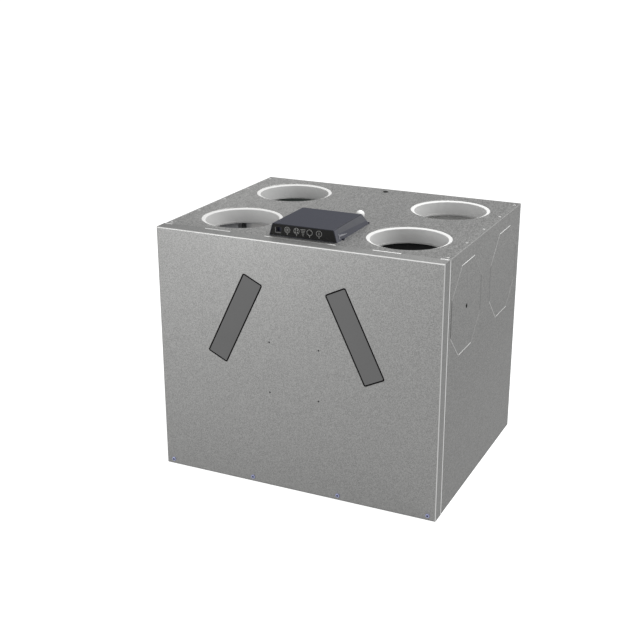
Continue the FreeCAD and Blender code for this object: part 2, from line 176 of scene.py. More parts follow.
# the port rims: painted highlights on their slopes, brightest where they look up
portSheet = {**sideSheet, "bendUpPaintedLight": "#e4e4e3", "bendSidePaintedLight": "#a4a4a3", "bendBackPaintedLight": "#acacab",
             "upFrom": 0.56, "upFull": 0.66}
# a copy with a painted highlight on the lower slopes that look down
portSlantHighlight = {**portSheet, "bendBackPaintedLight": "#d8d8d7"}
portShade = {**portSheet, "face": "#5c5c5b", "bendSidePaintedLight": "#606060"}


def galvanisedSteel(name, look):
    material, tree = startMaterial(name)
    place = addNode(tree, "ShaderNodeTexCoord")
    turned = addNode(tree, "ShaderNodeMapping", {
        "Vector": place.outputs["Object"], "Rotation": look["turn"],
        "Scale": tuple(1 / length for length in look["lie"])})
    crystals = addNode(tree, "ShaderNodeTexVoronoi", {
        "Vector": turned.outputs["Vector"], "Scale": 1 / (look["spangle"] * mm), "Randomness": 1.0})
    grain = addNode(tree, "ShaderNodeTexNoise", {
        "Vector": turned.outputs["Vector"], "Scale": 1 / (look["grain"] * mm), "Detail": 3.0})
    mixed = addNode(tree, "ShaderNodeMix", {
        "Factor": look["grainShare"], 2: crystals.outputs["Color"], 3: grain.outputs["Fac"]})
    tone = addNode(tree, "ShaderNodeMapRange", {
        "Value": mixed.outputs[0], "From Min": 0.2, "From Max": 0.8,
        "To Min": 1 - look["toneSpread"] / 2, "To Max": 1 + look["toneSpread"] / 2})
    # a bend is where the surface looks along none of the three axes
    absolute = addNode(tree, "ShaderNodeVectorMath", {
        0: place.outputs["Normal"]}, operation="ABSOLUTE")
    parts = addNode(tree, "ShaderNodeSeparateXYZ", {0: absolute.outputs[0]})
    widest = addNode(tree, "ShaderNodeMath", {
        0: parts.outputs[0], 1: parts.outputs[1]}, operation="MAXIMUM")
    widest = addNode(tree, "ShaderNodeMath", {
        0: widest.outputs[0], 1: parts.outputs[2]}, operation="MAXIMUM")
    bend = addNode(tree, "ShaderNodeMapRange", {
        "Value": widest.outputs[0], "From Min": look["bendFrom"], "From Max": look["bendFull"]})
    level = addNode(tree, "ShaderNodeSeparateXYZ", {0: place.outputs["Normal"]})
    upwards = addNode(tree, "ShaderNodeMapRange", {
        "Value": level.outputs[2], "From Min": look["upFrom"], "From Max": look["upFull"]})
    away = addNode(tree, "ShaderNodeMath", {0: level.outputs[2], 1: -1.0}, operation="MULTIPLY")
    away = addNode(tree, "ShaderNodeMath", {
        0: away.outputs[0], 1: level.outputs[1]}, operation="MAXIMUM")
    backwards = addNode(tree, "ShaderNodeMapRange", {
        "Value": away.outputs[0], "From Min": look["backFrom"], "From Max": look["backFull"]})
    # each bend gets painted light by the way it faces: one colour where it looks up, one where it
    # stands upright, one where it looks back or down
    bendPaintedLight = addNode(tree, "ShaderNodeMix", {
        "Factor": backwards.outputs[0], 6: linear(look["bendSidePaintedLight"]), 7: linear(look["bendBackPaintedLight"])},
        data_type="RGBA")
    bendPaintedLight = addNode(tree, "ShaderNodeMix", {
        "Factor": upwards.outputs[0], 6: bendPaintedLight.outputs[2], 7: linear(look["bendUpPaintedLight"])},
        data_type="RGBA")
    faceColour = addNode(tree, "ShaderNodeMix", {
        "Factor": 1.0, 6: linear(look["face"]), 7: tone.outputs[0]},
        data_type="RGBA", blend_type="MULTIPLY")
    colour = addNode(tree, "ShaderNodeMix", {
        "Factor": bend.outputs[0], 6: faceColour.outputs[2], 7: bendPaintedLight.outputs[2]},
        data_type="RGBA")
    marked = markPlaces(tree, place, colour.outputs[2], look["marks"])
    half = look["roughnessSpread"] / 2
    roughness = addNode(tree, "ShaderNodeMapRange", {
        "Value": crystals.outputs["Color"],
        "To Min": look["roughness"] - half, "To Max": look["roughness"] + half})
    bump = addNode(tree, "ShaderNodeBump", {
        "Strength": look["bump"], "Distance": look["bumpDepth"] * mm,
        "Height": grain.outputs["Fac"]})
    shader = addNode(tree, "ShaderNodeBsdfPrincipled", {
        "Base Color": marked, "Metallic": look["metallic"],
        "Roughness": roughness.outputs[0], "Normal": bump.outputs["Normal"]})
    endMaterial(tree, shader)
    return material


# Plated small parts: turned or pressed, so plain and a little glossier than the sheet
rivetAluminium = {"colour": "#aaaaa9", "metallic": 0.3, "roughness": 0.85}
screwSocket = {"columns": (-302.8, -100.9, 100.9, 302.8), "height": 11.3, "reach": 2.0, "edge": 0.3,
               "colour": "#24264a"}
darkPlate = {"colour": "#3c3c3d", "metallic": 0.6, "roughness": 0.5}


def socketMark(column):
    # a screw's hexagon socket lies in the shade of its own walls
    height, reach, edge = screwSocket["height"], screwSocket["reach"], screwSocket["edge"]
    where = []
    for axis, middle in (("x", column), ("z", height)):
        where.append((axis, middle - reach, middle - reach + edge))
        where.append((axis, middle + reach, middle + reach - edge))
    return {"where": where, "colour": screwSocket["colour"]}


blueZinc = {"colour": "#a4a9cc", "metallic": 0.6, "roughness": 0.35,
            "marks": [socketMark(column) for column in screwSocket["columns"]]}
platedWear = {"size": 1.2, "roughnessSpread": 0.12}          # mm, and how much the roughness varies


def platedMetal(name, look):
    material, tree = startMaterial(name)
    place = addNode(tree, "ShaderNodeTexCoord")
    wear = addNode(tree, "ShaderNodeTexNoise", {
        "Vector": place.outputs["Object"], "Scale": 1 / (platedWear["size"] * mm)})
    half = platedWear["roughnessSpread"] / 2
    roughness = addNode(tree, "ShaderNodeMapRange", {
        "Value": wear.outputs["Fac"], "From Min": 0.3, "From Max": 0.7,
        "To Min": look["roughness"] - half, "To Max": look["roughness"] + half})
    marked = markPlaces(tree, place, linear(look["colour"]), look.get("marks", []))
    shader = addNode(tree, "ShaderNodeBsdfPrincipled", {
        "Base Color": marked, "Metallic": look["metallic"], "Roughness": roughness.outputs[0]})
    endMaterial(tree, shader)
    return material


# Moulded plastic: a spark-eroded mould leaves a fine even grain, so it shines softly
mouldGrain = {"depth": 0.1, "roughnessSpread": 0.1}          # mm, and how much the roughness varies


def mouldedPlastic(name, look):
    material, tree = startMaterial(name)
    place = addNode(tree, "ShaderNodeTexCoord")
    grain = addNode(tree, "ShaderNodeTexNoise", {
        "Vector": place.outputs["Object"], "Scale": 1 / (look["grain"] * mm), "Detail": 2.0})
    cloud = addNode(tree, "ShaderNodeTexNoise", {
        "Vector": place.outputs["Object"], "Scale": 1 / (look["cloud"] * mm), "Detail": 1.0})
    tone = addNode(tree, "ShaderNodeMapRange", {
        "Value": cloud.outputs["Fac"], "From Min": 0.3, "From Max": 0.7,
        "To Min": 1 - look["toneSpread"] / 2, "To Max": 1 + look["toneSpread"] / 2})
    marked = markPlaces(tree, place, linear(look["colour"]), look.get("marks", []))
    colour = addNode(tree, "ShaderNodeMix", {
        "Factor": 1.0, 6: marked, 7: tone.outputs[0]}, data_type="RGBA", blend_type="MULTIPLY")
    half = mouldGrain["roughnessSpread"] / 2
    roughness = addNode(tree, "ShaderNodeMapRange", {
        "Value": grain.outputs["Fac"], "From Min": 0.3, "From Max": 0.7,
        "To Min": look["roughness"] - half, "To Max": look["roughness"] + half})
    bump = addNode(tree, "ShaderNodeBump", {
        "Strength": look["bump"], "Distance": mouldGrain["depth"] * mm,
        "Height": grain.outputs["Fac"]})
    shader = addNode(tree, "ShaderNodeBsdfPrincipled", {
        "Base Color": colour.outputs[2], "Roughness": roughness.outputs[0], "IOR": look["ior"],
        "Normal": bump.outputs["Normal"]})
    endMaterial(tree, shader)
    return material


collarPlastic = {"colour": "#d2d2d1", "roughness": 0.5, "ior": 1.49, "grain": 0.8, "cloud": 60,
                 "toneSpread": 0.02, "bump": 0.05,
                 # painted shade inside the wells, deeper towards the back and in the wells on the
                 # left
                 "marks": [{"where": [("y", -80, 60), ("z", 547.0, 546.0)], "gain": 0.93},
                           {"where": [("x", -60, -100), ("z", 547.0, 546.0)], "gain": 0.85},
                           {"where": [("z", 520.0, 519.4)], "gain": 0.8},       # painted shade at the foot's lip
                           {"where": [("z", 546.6, 547.2)], "gain": 0.84}]}     # the ring, darker
filterPlastic = {"colour": "#595959", "roughness": 0.6, "ior": 1.49, "grain": 1.0, "cloud": 50,
                 "toneSpread": 0.03, "bump": 0.1,
                 "marks": [{"where": [("x", -20, 20)], "gain": 1.14}]}
rubber = {"colour": "#101010", "roughness": 0.8, "ior": 1.2, "grain": 1.0, "cloud": 30,
          "toneSpread": 0.06, "bump": 0.1}
boxPlastic = {"colour": "#21232e", "roughness": 0.6, "ior": 1.4, "grain": 0.8, "cloud": 30,
              "toneSpread": 0.03, "bump": 0.08}
panelPlastic = {"colour": "#0a0a09", "roughness": 0.4, "ior": 1.28, "grain": 2.0, "cloud": 30,
                "toneSpread": 0.03, "bump": 0.02}
socketPlastic = {"colour": "#6e6e6f", "roughness": 0.5, "ior": 1.4, "grain": 0.8, "cloud": 20,
                 "toneSpread": 0.03, "bump": 0.05,
                 # down in the holes, and painted shade on the right and the top wall
                 "marks": [{"where": [("y", -206.0, -205.0)], "colour": "#34364a"},
                           {"where": [("x", -50.2, -49.8)], "colour": "#131312"},
                           {"where": [("z", 567.2, 567.6)], "colour": "#131312"}]}
glandNylon = {"colour": "#d8d8d7", "roughness": 0.4, "ior": 1.53, "grain": 0.8, "cloud": 20,
              "toneSpread": 0.02, "bump": 0.04}
beadFoam = {"colour": "#2c2d2e", "roughness": 0.9, "ior": 1.45, "grain": 3.0, "cloud": 40,
            "toneSpread": 0.2, "bump": 0.3}
screenPrint = {"colour": "#828280", "roughness": 0.6, "ior": 1.5, "grain": 1.0, "cloud": 20,
               "toneSpread": 0.04, "bump": 0.02}

coverZinc = galvanisedSteel("hot_dip_galvanised_front_sheet", coverSheet)
topZinc = galvanisedSteel("hot_dip_galvanised_top_sheet", topSheet)
sideZinc = galvanisedSteel("hot_dip_galvanised_side_sheet", sideSheet)
portZinc = galvanisedSteel("hot_dip_galvanised_pressed_rim", portSheet)
portRimLowerHighlight = galvanisedSteel("hot_dip_galvanised_pressed_rim_painted_highlight", portSlantHighlight)
portDark = galvanisedSteel("hot_dip_galvanised_pressed_rim_in_shade", portShade)
aluminium = platedMetal("blind_rivet_aluminium", rivetAluminium)
screwZinc = platedMetal("blue_zinc_plated_steel", blueZinc)
rivetDark = platedMetal("dark_plated_steel", darkPlate)
collarWhite = mouldedPlastic("moulded_white_polypropylene", collarPlastic)
filterGrey = mouldedPlastic("moulded_grey_polypropylene", filterPlastic)
gasketRubber = mouldedPlastic("extruded_epdm_rubber", rubber)
slate = mouldedPlastic("moulded_slate_abs", boxPlastic)
# painted shade on the rounded edges
slateEdgeShade = mouldedPlastic("moulded_slate_abs_edge_painted_shade", {**boxPlastic, "colour": "#171821"})
slateBezel = mouldedPlastic("moulded_slate_abs_bezel", {
    **boxPlastic, "marks": [
        {"where": [("sides", 69.2, 69.6), ("y", -213.9, -213.5)], "colour": "#4a4b52"}]})
# painted light on the sides, more above the crease
slateSidePaintedLight = mouldedPlastic("moulded_slate_abs_side_painted_light", {**boxPlastic, "colour": "#3f4048"})
slateUpperSidePaintedLight = mouldedPlastic("moulded_slate_abs_upper_side_painted_light", {**boxPlastic, "colour": "#4c4d52"})
# a painted highlight on the ribs
slateRibHighlight = mouldedPlastic("moulded_slate_abs_rib_painted_highlight", {**boxPlastic, "colour": "#86878c"})
panelBlack = mouldedPlastic("glossy_black_acrylic", panelPlastic)
socketSlate = mouldedPlastic("moulded_socket_nylon", socketPlastic)
nylon = mouldedPlastic("moulded_white_nylon", glandNylon)
printGrey = mouldedPlastic("screen_printed_enamel", screenPrint)
printLight = mouldedPlastic("screen_printed_enamel_light", {**screenPrint, "colour": "#dcdcda"})
foamTones = {"front_left": "#a4a5a8", "front_right": "#343435", "back_left": "#767d7a",
             "back_right": "#c6c6c5", "lower": "#2c2d2e"}
# the front left well's slot, and the bare foam beside it
slotMarks = [
    {"where": [("x", -243.4, -243.0), ("x", -228.0, -228.4), ("y", -56, -55)], "colour": "#5c5c5d"},
    {"where": [("x", -228, -214)], "colour": "#dedddb"}]


def dress(nodeName, *materials):
    # a CAD node keeps its mesh and gets its finish in its material slots
    mesh = nodes[nodeName].data
    mesh.materials.clear()
    for material in materials:
        mesh.materials.append(material)


dress("front_cover", coverZinc)
dress("top_panel", topZinc)
for name in ("left_side_panel", "right_side_panel", "back_panel", "base_panel"):
    dress(name, sideZinc)
for place, tone in foamTones.items():
    look = {**beadFoam, "colour": tone, "marks": slotMarks if place == "front_left" else []}
    dress("foam_core_" + place, mouldedPlastic("expanded_bead_foam_" + place, look))
for name in nodes:
    if "port_cover" in name:
        dress(name, sideZinc)
    if name.startswith("duct_collar"):
        dress(name, collarWhite)
    if name.startswith("filter_cover"):
        dress(name, filterGrey)
    if name.startswith("filter_gasket") or name.endswith("_plug"):
        dress(name, gasketRubber)
dress("control_front_panel", panelBlack)
for name in ("control_box_cover", "control_box_lugs"):
    dress(name, slate)
dress("control_bezel", slateBezel)
dress("service_socket", socketSlate)
for name in ("cable_gland_nut", "cable_gland_cap"):
    dress(name, nylon)
for name in ("top_rivets", "back_rivets"):
    dress(name, aluminium)
dress("front_screws", screwZinc)
dress("front_rivets", rivetDark)
print("finishes given to the CAD nodes")


# Modelling by hand, in code

def deselect():
    bpy.ops.object.select_all(action="DESELECT")


def startShape(name):
    # the primitive that was just added gets its name, and its place goes into its mesh
    shape = bpy.context.object
    shape.name = name
    bpy.ops.object.transform_apply(location=True, rotation=True, scale=True)
    return shape


def pickFaces(shape, wanted):
    # only the faces whose middle and normal are wanted stay selected
    bpy.ops.object.mode_set(mode="EDIT")
    bpy.ops.mesh.select_mode(type="FACE")
    bpy.ops.mesh.select_all(action="DESELECT")
    bpy.ops.object.mode_set(mode="OBJECT")
    for face in shape.data.polygons:
        face.select = bool(wanted(face.center, face.normal))
    bpy.ops.object.mode_set(mode="EDIT")


def pickEdges(shape, wanted):
    # only the edges whose two ends are wanted stay selected
    bpy.ops.object.mode_set(mode="EDIT")
    bpy.ops.mesh.select_mode(type="EDGE")
    bpy.ops.mesh.select_all(action="DESELECT")
    bpy.ops.object.mode_set(mode="OBJECT")
    points = [vertex.co for vertex in shape.data.vertices]
    for edge in shape.data.edges:
        start, end = edge.vertices
        edge.select = bool(wanted(points[start], points[end]))
    bpy.ops.object.mode_set(mode="EDIT")


def cutAway(shape, point, normal):
    # everything past a plane goes, and the cut is closed
    bpy.ops.object.mode_set(mode="EDIT")
    bpy.ops.mesh.select_all(action="SELECT")
    bpy.ops.mesh.bisect(
        plane_co=point, plane_no=Vector(normal).normalized(), use_fill=True, clear_outer=True)
    bpy.ops.object.mode_set(mode="OBJECT")


def twinOf(shape, move):
    # a copy with its own mesh, moved by a matrix
    twin = shape.copy()
    twin.data = shape.data.copy()
    twin.data.transform(move)
    if move.determinant() < 0:
        twin.data.flip_normals()
    bpy.context.scene.collection.objects.link(twin)
    return twin


def joinShapes(name, shapes):
    deselect()
    for shape in shapes:
        shape.select_set(True)
    bpy.context.view_layer.objects.active = shapes[0]
    if len(shapes) > 1:
        bpy.ops.object.join()
    whole = bpy.context.object
    whole.name = name
    return whole


def finishPiece(piece, slotName, *materials):
    # the materials come in the order of the faces' material numbers
    for material in materials:
        piece.data.materials.append(material)
    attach(piece, "root")


mirrorLeft = Matrix.Scale(-1, 4, (1, 0, 0))


# Printed symbols on the control panel, a raised enamel print
symbolPrint = {
    "thickness": 0.25,            # mm
    "cornerShare": 0.3,           # of a bar's shorter side
    "stroke": 0.9,
    "ringRadius": 6.5,
    "ringHeight": 14.3,           # above the casing's top
    "ringPlaces": (-35.2, -14.3, 15.1, 36.1),
    "stemFoot": 4.0,
    "stemWidth": 1.2,
    "levelPlace": 0.3,
    "levelTop": 18.9,
    "levelFoot": 6.7,
    "levelBars": 5,
    "levelWidths": (11.0, 3.0),
    "barHeight": 1.0,
    "dotRadius": 1.7,
    "thinRing": (4.1, 0.7),       # radius and stroke
    "fanBlade": (9.6, 2.2),       # length and width
    "fanHub": 2.1,
    "hatchSteps": (-2.4, 0.0, 2.4),
    "hatchSpread": 0.7,           # how far a step moves its line, as a share
    "hatchLine": (8.4, 1.1),
    "gaugeBar": (1.5, 4.6),
    "gaugeRise": 0.6,
    "gaugeBulb": 1.1,
    "gaugeDrop": 2.0,
}


def printedDisc(x, z, radius, stroke):
    # a disc on the panel, or a ring where a stroke is given
    deselect()
    bpy.ops.mesh.primitive_circle_add(
        vertices=40, radius=radius * mm, fill_type="NGON",
        location=(x * mm, panelFace, topZ + z * mm), rotation=(math.pi / 2, 0, 0))
    shape = startShape("printed_disc")
    bpy.ops.object.mode_set(mode="EDIT")
    if stroke:
        bpy.ops.mesh.inset(thickness=stroke * mm)
        bpy.ops.mesh.delete(type="FACE")
        bpy.ops.mesh.select_all(action="SELECT")
    bpy.ops.mesh.extrude_region_move(
        TRANSFORM_OT_translate={"value": (0, -symbolPrint["thickness"] * mm, 0)})
    bpy.ops.mesh.select_all(action="SELECT")
    bpy.ops.mesh.normals_make_consistent(inside=False)
    bpy.ops.object.mode_set(mode="OBJECT")
    return shape


def printedBar(x, z, width, height, turn=0.0):
    # a bar with rounded corners, turned in the panel's plane
    deselect()
    bpy.ops.mesh.primitive_plane_add(size=1, location=(0, 0, 0), rotation=(math.pi / 2, 0, 0))
    bpy.context.object.scale = (width * mm, height * mm, 1)
    shape = startShape("printed_bar")
    bpy.ops.object.mode_set(mode="EDIT")
    bpy.ops.mesh.select_all(action="SELECT")
    corner = min(width, height) * symbolPrint["cornerShare"]
    bpy.ops.mesh.bevel(offset=corner * mm, segments=2, affect="VERTICES")
    bpy.ops.mesh.select_all(action="SELECT")
    bpy.ops.mesh.extrude_region_move(
        TRANSFORM_OT_translate={"value": (0, -symbolPrint["thickness"] * mm, 0)})
    bpy.ops.mesh.select_all(action="SELECT")
    bpy.ops.mesh.normals_make_consistent(inside=False)
    bpy.ops.object.mode_set(mode="OBJECT")
    shape.data.transform(Matrix.Rotation(math.radians(turn), 4, "Y"))
    shape.data.transform(Matrix.Translation((x * mm, panelFace, topZ + z * mm)))
    return shape


def paintShape(shape, number):
    for face in shape.data.polygons:
        face.material_index = number
    return shape


def printSymbols():
    look = symbolPrint
    height, radius = look["ringHeight"], look["ringRadius"]
    ring = printedDisc(look["ringPlaces"][0], height, radius, look["stroke"])
    stemTop = height - radius + look["stroke"] / 2
    stem = printedBar(look["ringPlaces"][0], (stemTop + look["stemFoot"]) / 2, look["stemWidth"],
                      stemTop - look["stemFoot"])
    shapes = [ring, stem]
    for x in look["ringPlaces"][1:]:
        move = Matrix.Translation(((x - look["ringPlaces"][0]) * mm, 0, 0))
        shapes += [twinOf(ring, move), twinOf(stem, move)]
    dotPlace, fanPlace, hatchPlace, gaugePlace = look["ringPlaces"]
    # air flow: a dot in a thin ring
    shapes.append(paintShape(printedDisc(dotPlace, height, look["dotRadius"], 0), 1))
    shapes.append(printedDisc(dotPlace, height, *look["thinRing"]))
    # fan: four blades
    for turn in (45, 135):
        shapes.append(paintShape(printedBar(fanPlace, height, *look["fanBlade"], turn), 1))
    shapes.append(paintShape(printedDisc(fanPlace, height, look["fanHub"], 0), 1))
    # filter: slanting lines
    length, width = look["hatchLine"]
    for step in look["hatchSteps"]:
        shift = step * look["hatchSpread"]
        bar = printedBar(hatchPlace + shift, height + shift, length - abs(step), width, -45)
        shapes.append(paintShape(bar, 1))
    # temperature: an upright gauge
    bar = printedBar(gaugePlace, height + look["gaugeRise"], *look["gaugeBar"])
    shapes.append(paintShape(bar, 1))
    bulb = printedDisc(gaugePlace, height - look["gaugeDrop"], look["gaugeBulb"], 0)
    shapes.append(paintShape(bulb, 1))
    # level bars, wide above and narrow below
    wide, narrow = look["levelWidths"]
    for number in range(look["levelBars"]):
        share = number / (look["levelBars"] - 1)
        z = look["levelTop"] + (look["levelFoot"] - look["levelTop"]) * share
        width = wide + (narrow - wide) * share
        shapes.append(printedBar(look["levelPlace"], z, width, look["barHeight"]))
    symbols = joinShapes("control_panel_symbols", shapes)
    finishPiece(symbols, "panel_plastic", printGrey, printLight)


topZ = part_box("top_panel")[1][2]
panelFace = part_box("control_front_panel")[0][1]
printSymbols()
print("panel symbols printed")


# Control box cover: sloping sides with a rounded top edge, a crease line that falls towards the
# back with painted light on the side above it, and a sloping back
boxCover = {
    "sideSlope": 7.1,             # mm inwards over the whole height
    "backSlope": 22.5,
    "edgeOffset": 2.205,          # how far from the edge its rounding starts
    "creaseFront": (-207.9, 14.9),         # mm: y, height above the casing's top
    "creaseBack": (-59.5, 8.9),
    "ledgeFront": (-199.5, 10.6),
    "ledgeTip": (-148.0, 5.0),
    "ledgeHeight": 3.6,
    "tipShares": (0.3, 0.15),     # what the ledge's tip keeps of its depth and height
    "ridgeWidth": 2.4,
    "ridgeSpan": (3.0, 14.0),
    "proud": 0.9,
}


def sideX(height):
    # how far from the middle the box's side lies at a height above the casing's top
    low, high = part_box("control_box_cover")
    return high[0] - boxCover["sideSlope"] * mm * height / (high[2] - low[2])


def shapeBoxCover():
    low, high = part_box("control_box_cover")
    width, depth, height = (high[axis] - low[axis] for axis in range(3))
    slope = boxCover["sideSlope"] * mm
    deselect()
    bpy.ops.mesh.primitive_cube_add(
        size=1, location=(0, (low[1] + high[1]) / 2, low[2] + height / 2))
    bpy.context.object.scale = (width, depth, height)
    cover = startShape("control_box_cover_moulding")
    for side in (-1, 1):
        cutAway(cover, (side * width / 2, 0, low[2]), (side * height, 0, slope))
    cutAway(cover, (0, high[1], low[2]), (0, height, boxCover["backSlope"] * mm))
    pickEdges(cover, lambda a, b: min(a.z, b.z) > high[2] - slack
              and max(a.y, b.y) > low[1] + mm)
    bpy.ops.mesh.bevel(offset=boxCover["edgeOffset"] * mm, segments=5, affect="EDGES")
    bpy.ops.mesh.select_all(action="SELECT")
    frontY, frontHeight = boxCover["creaseFront"]
    backY, backHeight = boxCover["creaseBack"]
    bpy.ops.mesh.bisect(
        plane_co=(0, frontY * mm, topZ + frontHeight * mm),
        plane_no=Vector((0, frontHeight - backHeight, backY - frontY)).normalized())
    bpy.ops.object.mode_set(mode="OBJECT")
    fall = (backHeight - frontHeight) / (backY - frontY)
    for face in cover.data.polygons:
        normal, centre = face.normal, face.center
        creaseZ = topZ + frontHeight * mm + fall * (centre.y - frontY * mm)
        if abs(normal.x) > 0.9:
            face.material_index = 2 if centre.z > creaseZ else 1      # painted light, lighter above the crease
        elif abs(normal.x) > 0.35 or 0.3 < normal.y < 0.6:
            face.material_index = 3      # painted shade on the rounded edges
    finishPiece(cover, "control_plastic", slate, slateSidePaintedLight, slateUpperSidePaintedLight, slateEdgeShade)
    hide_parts("control_box_cover")


def sideBar(name, span, low, high, width):
    # a bar that lies on the box's right side from one (y, height) to another
    (lowY, lowHeight), (highY, highHeight) = low, high
    deselect()
    bpy.ops.mesh.primitive_cube_add(size=1, location=(0, 0, 0))
    bpy.context.object.scale = (2 * boxCover["proud"] * mm, span * mm, width * mm)
    bar = startShape(name)
    turn = math.atan2(highHeight - lowHeight, highY - lowY)
    middle = (lowHeight + highHeight) / 2
    bar.data.transform(Matrix.Rotation(turn, 4, "X"))
    place = (sideX(middle * mm), (lowY + highY) / 2 * mm, topZ + middle * mm)
    bar.data.transform(Matrix.Translation(place))
    return bar


def shapeSideRibs():
    # on each side a ledge that tapers backwards, and an upright ridge where cover and bezel meet
    front, tip = boxCover["ledgeFront"], boxCover["ledgeTip"]
    span = math.hypot(tip[0] - front[0], tip[1] - front[1])
    ledge = sideBar("side_ledge", span, front, tip, boxCover["ledgeHeight"])
    farEnd = tip[0] * mm - 2 * mm
    pickFaces(ledge, lambda centre, normal: centre.y > farEnd)
    depthShare, heightShare = boxCover["tipShares"]
    bpy.ops.transform.resize(
        value=(depthShare, 1, heightShare),
        center_override=(sideX(tip[1] * mm) - mm, tip[0] * mm, topZ + tip[1] * mm))
    bpy.ops.object.mode_set(mode="OBJECT")
    foot, head = boxCover["ridgeSpan"]
    y, middle = front[0], (foot + head) / 2
    ridge = sideBar("side_ridge", head - foot, (y, foot), (y + 0.01, head), boxCover["ridgeWidth"])
    # the ridge leans with the side
    low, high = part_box("control_box_cover")
    lean = Matrix.Rotation(-math.atan2(boxCover["sideSlope"] * mm, high[2] - low[2]), 4, "Y")
    there = Matrix.Translation((sideX(middle * mm), y * mm, topZ + middle * mm))
    ridge.data.transform(there @ lean @ there.inverted())
    bars = [ledge, ridge, twinOf(ledge, mirrorLeft), twinOf(ridge, mirrorLeft)]
    ribs = joinShapes("control_box_side_ribs", bars)
    finishPiece(ribs, "control_plastic", slateRibHighlight)


shapeBoxCover()
shapeSideRibs()
print("control box shaped")


# Cable gland: a domed cap with a fine groove round its crown, turned from a profile
glandCap = {
    "middle": (45.2, -25.0),      # mm
    "ballHeight": 10.9,           # the ball's middle above the casing's top
    "radius": 9.5,
    "grooveRadius": 4.6,
    "grooveWidth": 0.5,
    "grooveDepth": 0.4,
    "steps": 28,                  # of the profile
    "turns": 40,
}


def turnGlandCap():
    look = glandCap
    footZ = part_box("cable_gland_cap")[0][2]
    middleZ = topZ + look["ballHeight"] * mm
    radius = look["radius"] * mm
    steps = look["steps"]
    profile = []
    lowest = math.asin(max(-1.0, (footZ - middleZ) / radius))
    for step in range(steps + 1):
        angle = lowest + (math.pi / 2 - lowest) * step / steps
        along, up = radius * math.cos(angle), middleZ + radius * math.sin(angle)
        if abs(along - look["grooveRadius"] * mm) < look["grooveWidth"] * mm and up > middleZ:
            up -= look["grooveDepth"] * mm
        profile.append((along, 0, up))
    mesh = bpy.data.meshes.new("cable_gland_dome")
    mesh.from_pydata(profile, [(step, step + 1) for step in range(steps)], [])
    dome = bpy.data.objects.new("cable_gland_dome", mesh)
    bpy.context.scene.collection.objects.link(dome)
    deselect()
    dome.select_set(True)
    bpy.context.view_layer.objects.active = dome
    bpy.ops.object.mode_set(mode="EDIT")
    bpy.ops.mesh.select_all(action="SELECT")
    bpy.ops.mesh.spin(steps=look["turns"], angle=2 * math.pi, center=(0, 0, 0), axis=(0, 0, 1))
    bpy.ops.mesh.select_all(action="SELECT")
    bpy.ops.mesh.remove_doubles(threshold=2 * slack)
    bpy.ops.mesh.normals_make_consistent(inside=False)
    bpy.ops.object.mode_set(mode="OBJECT")
    bpy.ops.object.shade_smooth_by_angle(angle=math.radians(25))
    dome.data.transform(Matrix.Translation((look["middle"][0] * mm, look["middle"][1] * mm, 0)))
    finishPiece(dome, "gland_nylon", nylon)
    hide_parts("cable_gland_cap")


turnGlandCap()
print("gland cap turned")


# Small nubs at the mouths of the collars, where the moulding was cut from its runner
collarNub = {"size": (5.0, 2.4, 1.4), "round": 0.4, "ring": 88.4,
             "farAngle": 112.4, "nearAngle": -66.4}


def setNubs():
    low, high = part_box("duct_collar_front_right")
    mouthZ = high[2]
    deselect()
    bpy.ops.mesh.primitive_cube_add(size=1, location=(0, 0, 0))
    bpy.context.object.scale = tuple(length * mm for length in collarNub["size"])
    nub = startShape("collar_nub")
    bpy.ops.object.mode_set(mode="EDIT")
    bpy.ops.mesh.select_all(action="SELECT")
    bpy.ops.mesh.bevel(offset=collarNub["round"] * mm, segments=2, affect="EDGES")
    bpy.ops.object.mode_set(mode="OBJECT")
    shapes = []
    for name in ("front_left", "front_right", "back_left", "back_right"):
        low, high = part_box("duct_collar_" + name)
        middle = Vector(((low[0] + high[0]) / 2, (low[1] + high[1]) / 2, mouthZ))
        angles = [collarNub["farAngle"]]
        if name == "front_right":
            angles.append(collarNub["nearAngle"])
        for angle in angles:
            turn = Matrix.Rotation(math.radians(angle - 90), 4, "Z")
            out = Matrix.Translation((0, collarNub["ring"] * mm, 0))
            shapes.append(twinOf(nub, Matrix.Translation(middle) @ turn @ out))
    bpy.data.objects.remove(nub)
    nubs = joinShapes("collar_nubs", shapes)
    finishPiece(nubs, "collar_plastic", collarWhite)


setNubs()
print("collar nubs set")


# Plug in the top panel: a flat cap with a rounded edge, wider than its hole
topPlug = {"radius": 6.0, "height": 0.9, "round": 0.4}


def capTopPlug():
    low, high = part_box("top_plug")
    middle = ((low[0] + high[0]) / 2, (low[1] + high[1]) / 2, topZ + topPlug["height"] / 2 * mm)
    deselect()
    bpy.ops.mesh.primitive_cylinder_add(
        vertices=48, radius=topPlug["radius"] * mm, depth=topPlug["height"] * mm, location=middle)
    cap = startShape("top_plug_cap")
    upperZ = topZ + topPlug["height"] * mm
    pickEdges(cap, lambda a, b: min(a.z, b.z) > upperZ - slack)
    bpy.ops.mesh.bevel(offset=topPlug["round"] * mm, segments=3, affect="EDGES")
    bpy.ops.object.mode_set(mode="OBJECT")
    bpy.ops.object.shade_smooth_by_angle(angle=math.radians(35))
    finishPiece(cap, "dark_rubber", gasketRubber)
    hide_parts("top_plug")


capTopPlug()
print("top plug capped")


# Rolled rims round the side ports: eight-sided, raised, with a slope inwards and one outwards
portRim = {
    "width": 3.4,                 # mm
    "overSeam": 1.2,              # how far the rim reaches over the cover
    "stand": 0.65,
    "slope": 0.637,               # a little less than the stand, so that its walls keep a foot
    "sink": 0.02,                 # how far its foot reaches into the sheet
}


